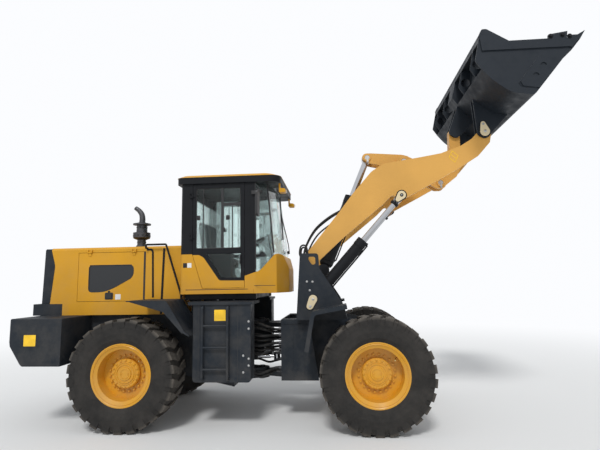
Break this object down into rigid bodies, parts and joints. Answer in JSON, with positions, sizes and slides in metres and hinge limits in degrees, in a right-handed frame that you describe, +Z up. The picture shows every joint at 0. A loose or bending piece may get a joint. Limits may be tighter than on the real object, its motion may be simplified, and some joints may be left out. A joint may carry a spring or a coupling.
{
  "type": "wheel loader",
  "caption": "Articulated wheel loader with a raised Z-bar boom and bucket, steering hinge, turning wheels and opening cab and hood doors.",
  "frame": {"origin": "on the ground under the middle of the whole machine with its boom raised as in the picture", "axes": "+X forward, +Y to the machine's left, +Z up"},
  "size_m": [7.166, 2.46, 4.7077],
  "materials": {
    "yellow_paint": "gloss",
    "cream_yellow_paint": "gloss",
    "slate_paint": "satin",
    "black_paint": "satin",
    "black_plastic": "matte",
    "tyre_rubber": "matte",
    "rim_yellow": "gloss",
    "cast_grey": "rough",
    "chrome": "polished",
    "window_glass": "clear",
    "seat_fabric": "woven",
    "lamp_red": "gloss",
    "exhaust_steel": "satin"
  },
  "bodies": {
    "rear_body": {"cab_console": "black_plastic", "cab_frame": "black_paint", "cab_glass": "window_glass", "cab_roof": "yellow_paint", "cab_tub": "yellow_paint", "cab_visor": "black_paint", "counterweight": "slate_paint", "engine": "cast_grey", "exhaust_stack": "exhaust_steel", "exhaust_tail": "exhaust_steel", "handrails": "black_paint", "hood": "yellow_paint", "ladders": "slate_paint", "mirrors": "black_plastic", "radiator": "cast_grey", "rear_axle": "slate_paint", "rear_fenders": "slate_paint", "rear_frame": "slate_paint", "rear_grille": "slate_paint", "rear_lamps": "lamp_red", "roof_lamps": "yellow_paint", "seat_base": "black_plastic", "seat_cushion": "seat_fabric", "side_tanks": "slate_paint", "steering_wheel": "black_plastic"},
    "front_body": {"front_frame": "slate_paint", "front_fenders": "slate_paint", "front_axle": "slate_paint"},
    "boom_body": {"boom": "cream_yellow_paint"},
    "bell_crank_body": {"bell_crank": "cream_yellow_paint"},
    "bucket_link_body": {"bucket_link": "cream_yellow_paint"},
    "bucket_body": {"bucket": "slate_paint"},
    "tilt_barrel_body": {"tilt_barrel": "black_paint"},
    "tilt_rod_body": {"tilt_rod": "chrome"},
    "lift_barrels_body": {"lift_barrels": "black_paint"},
    "lift_rods_body": {"lift_rods": "chrome"},
    "steer_barrel_right_body": {"steer_barrel_right": "black_paint"},
    "steer_barrel_left_body": {"steer_barrel_left": "black_paint"},
    "steer_rod_right_body": {"steer_rod_right": "chrome"},
    "steer_rod_left_body": {"steer_rod_left": "chrome"},
    "cab_door_right": {"cab_door_panel_right": "yellow_paint", "cab_door_frame_right": "black_paint", "cab_door_glass_right": "window_glass"},
    "hood_door_right_body": {"hood_door_right": "yellow_paint", "hood_vent_right": "black_plastic"},
    "front_right_wheel": {"tyre_front_right": "tyre_rubber", "wheel_front_right": "rim_yellow"},
    "rear_right_wheel": {"tyre_rear_right": "tyre_rubber", "wheel_rear_right": "rim_yellow"},
    "cab_door_left": {"cab_door_panel_left": "yellow_paint", "cab_door_frame_left": "black_paint", "cab_door_glass_left": "window_glass"},
    "hood_door_left_body": {"hood_door_left": "yellow_paint", "hood_vent_left": "black_plastic"},
    "front_left_wheel": {"tyre_front_left": "tyre_rubber", "wheel_front_left": "rim_yellow"},
    "rear_left_wheel": {"tyre_rear_left": "tyre_rubber", "wheel_rear_left": "rim_yellow"}
  },
  "joints": [
    {"name": "steering", "type": "hinge", "parent": "rear_body", "child": "front_body", "pos_m": [-0.498, 0, 0.83], "axis": [0, 0, 1], "range_deg": [-35, 35]},
    {"name": "front_right_wheel_spin", "type": "hinge", "parent": "front_body", "child": "front_right_wheel", "pos_m": [1.022, -0.925, 0.665], "axis": [0, 1, 0], "continuous": true},
    {"name": "front_left_wheel_spin", "type": "hinge", "parent": "front_body", "child": "front_left_wheel", "pos_m": [1.022, 0.925, 0.665], "axis": [0, 1, 0], "continuous": true},
    {"name": "rear_right_wheel_spin", "type": "hinge", "parent": "rear_body", "child": "rear_right_wheel", "pos_m": [-2.018, -0.925, 0.665], "axis": [0, 1, 0], "continuous": true},
    {"name": "rear_left_wheel_spin", "type": "hinge", "parent": "rear_body", "child": "rear_left_wheel", "pos_m": [-2.018, 0.925, 0.665], "axis": [0, 1, 0], "continuous": true},
    {"name": "boom_lift", "type": "hinge", "parent": "front_body", "child": "boom_body", "pos_m": [0.207, 0, 1.96], "axis": [0, -1, 0], "range_deg": [-73.5, 11]},
    {"name": "bucket_tilt", "type": "hinge", "parent": "boom_body", "child": "bucket_body", "pos_m": [2.57, 0, 3.655], "axis": [0, 1, 0], "range_deg": [-62, 95]},
    {"name": "bell_crank_turn", "type": "hinge", "parent": "boom_body", "child": "bell_crank_body", "pos_m": [1.575, 0, 3.405], "axis": [0, 1, 0], "range_deg": [-39, 25.5]},
    {"name": "bucket_link_turn", "type": "hinge", "parent": "bell_crank_body", "child": "bucket_link_body", "pos_m": [2.077, 0, 3.093], "axis": [0, 1, 0], "range_deg": [-35.5, 54]},
    {"name": "lift_barrel_swing", "type": "hinge", "parent": "front_body", "child": "lift_barrels_body", "pos_m": [0.277, 0, 1.52], "axis": [0, -1, 0], "range_deg": [-71, 10.8]},
    {"name": "lift_rod_slide", "type": "slide", "parent": "lift_barrels_body", "child": "lift_rods_body", "axis": [0.6661, 0, 0.7458], "range_m": [-0.531, 0.081]},
    {"name": "tilt_barrel_swing", "type": "hinge", "parent": "front_body", "child": "tilt_barrel_body", "pos_m": [0.397, 0, 1.904], "axis": [0, -1, 0], "range_deg": [-78.2, 11.8]},
    {"name": "tilt_rod_slide", "type": "slide", "parent": "tilt_barrel_body", "child": "tilt_rod_body", "axis": [0.3865, 0, 0.9223], "range_m": [-0.308, 0.202]},
    {"name": "steer_barrel_swing_right", "type": "hinge", "parent": "rear_body", "child": "steer_barrel_right_body", "pos_m": [-0.948, -0.33, 0.76], "axis": [0, 0, 1], "range_deg": [-11.5, 11.5]},
    {"name": "steer_rod_slide_right", "type": "slide", "parent": "steer_barrel_right_body", "child": "steer_rod_right_body", "axis": [0.9963, 0.0854, 0], "range_m": [-0.166, 0.166]},
    {"name": "steer_barrel_swing_left", "type": "hinge", "parent": "rear_body", "child": "steer_barrel_left_body", "pos_m": [-0.948, 0.33, 0.76], "axis": [0, 0, 1], "range_deg": [-11.5, 11.5]},
    {"name": "steer_rod_slide_left", "type": "slide", "parent": "steer_barrel_left_body", "child": "steer_rod_left_body", "axis": [0.9963, -0.0854, 0], "range_m": [-0.166, 0.166]},
    {"name": "cab_door_open_right", "type": "hinge", "parent": "rear_body", "child": "cab_door_right", "pos_m": [-1.293, -0.732, 2], "axis": [0, 0, -1], "range_deg": [0, 90]},
    {"name": "cab_door_open_left", "type": "hinge", "parent": "rear_body", "child": "cab_door_left", "pos_m": [-1.293, 0.732, 2], "axis": [0, 0, 1], "range_deg": [0, 90]},
    {"name": "hood_door_open_right", "type": "hinge", "parent": "rear_body", "child": "hood_door_right_body", "pos_m": [-2.483, -0.532, 2.19], "axis": [-1, 0, 0], "range_deg": [0, 75]},
    {"name": "hood_door_open_left", "type": "hinge", "parent": "rear_body", "child": "hood_door_left_body", "pos_m": [-2.483, 0.532, 2.19], "axis": [1, 0, 0], "range_deg": [0, 75]}
  ],
  "couplings": [
    {"joint": "bell_crank_turn", "follows": "bucket_tilt", "ratio": -0.408},
    {"joint": "bucket_link_turn", "follows": "bucket_tilt", "ratio": 0.566},
    {"joint": "lift_barrel_swing", "follows": "boom_lift", "ratio": 0.96},
    {"joint": "lift_rod_slide", "follows": "boom_lift", "m_per_rad": 0.4125},
    {"joint": "tilt_barrel_swing", "follows": "boom_lift", "ratio": 1.06},
    {"joint": "tilt_rod_slide", "follows": "bucket_tilt", "m_per_rad": -0.185},
    {"joint": "steer_barrel_swing_right", "follows": "steering", "ratio": 0.325},
    {"joint": "steer_rod_slide_right", "follows": "steering", "m_per_rad": 0.27},
    {"joint": "steer_barrel_swing_left", "follows": "steering", "ratio": 0.325},
    {"joint": "steer_rod_slide_left", "follows": "steering", "m_per_rad": -0.27}
  ]
}
